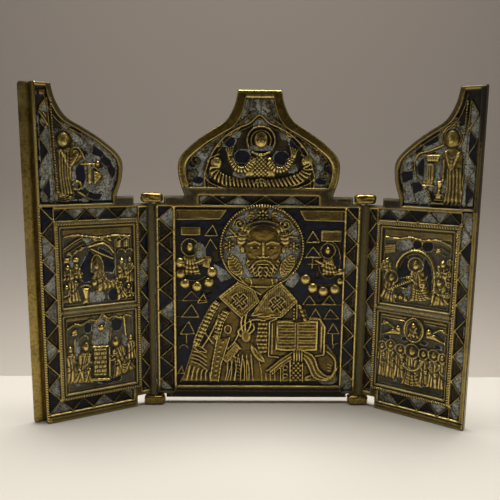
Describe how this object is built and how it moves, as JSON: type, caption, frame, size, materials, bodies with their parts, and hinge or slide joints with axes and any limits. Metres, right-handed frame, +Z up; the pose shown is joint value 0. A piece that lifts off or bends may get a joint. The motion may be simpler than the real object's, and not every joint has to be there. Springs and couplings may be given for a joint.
{
  "type": "folding travel icon",
  "caption": "Folding brass icon: a centre leaf with an onion-shaped dome and two wings with half domes on upright hinge pins, relief figures and enamel-filled cells.",
  "frame": {"origin": "centre of the bounding box on the surface it stands on, with the wings toed in as pictured", "axes": "+Z up, +X across the leaves to the viewer's right, +Y back, away from the viewer"},
  "size_m": [0.1852, 0.0318, 0.1428],
  "materials": {
    "cast_brass": "cast, aged and hand-worn",
    "worn_brass": "filed, aged, with verdigris",
    "white_enamel": "pitted opaque enamel",
    "blue_enamel": "pitted opaque dark blue enamel"
  },
  "bodies": {
    "centre": {"centre_glass_border_left": "white_enamel", "centre_glass_border_right": "white_enamel", "centre_glass_border_top": "white_enamel", "centre_glass_dome_band": "white_enamel", "centre_glass_dome_left": "blue_enamel", "centre_glass_dome_right": "blue_enamel", "centre_glass_ground_left": "blue_enamel", "centre_glass_ground_right": "blue_enamel", "centre_glass_halo": "white_enamel", "centre_leaf": "cast_brass", "hinge_lug_lower_left": "worn_brass", "hinge_lug_lower_right": "worn_brass", "hinge_lug_upper_left": "worn_brass", "hinge_lug_upper_right": "worn_brass", "hinge_pin_lower_left": "worn_brass", "hinge_pin_lower_right": "worn_brass", "hinge_pin_upper_left": "worn_brass", "hinge_pin_upper_right": "worn_brass"},
    "left_wing": {"left_glass_border_bottom": "white_enamel", "left_glass_border_inner": "white_enamel", "left_glass_border_outer": "white_enamel", "left_glass_border_top": "white_enamel", "left_glass_half_dome": "blue_enamel", "left_glass_scene_lower": "white_enamel", "left_glass_scene_upper": "white_enamel", "left_leaf": "cast_brass"},
    "right_wing": {"right_glass_border_bottom": "white_enamel", "right_glass_border_inner": "white_enamel", "right_glass_border_outer": "white_enamel", "right_glass_border_top": "white_enamel", "right_glass_half_dome": "blue_enamel", "right_glass_scene_lower": "white_enamel", "right_glass_scene_upper": "white_enamel", "right_leaf": "cast_brass"}
  },
  "joints": [
    {"name": "left_hinge", "type": "hinge", "parent": "centre", "child": "left_wing", "pos_m": [-0.04381, 0.01139, 0.0468], "axis": [0, 0, 1], "range_deg": [-36, 152]},
    {"name": "right_hinge", "type": "hinge", "parent": "centre", "child": "right_wing", "pos_m": [0.05179, 0.01139, 0.0468], "axis": [0, 0, -1], "range_deg": [-44, 144]}
  ]
}
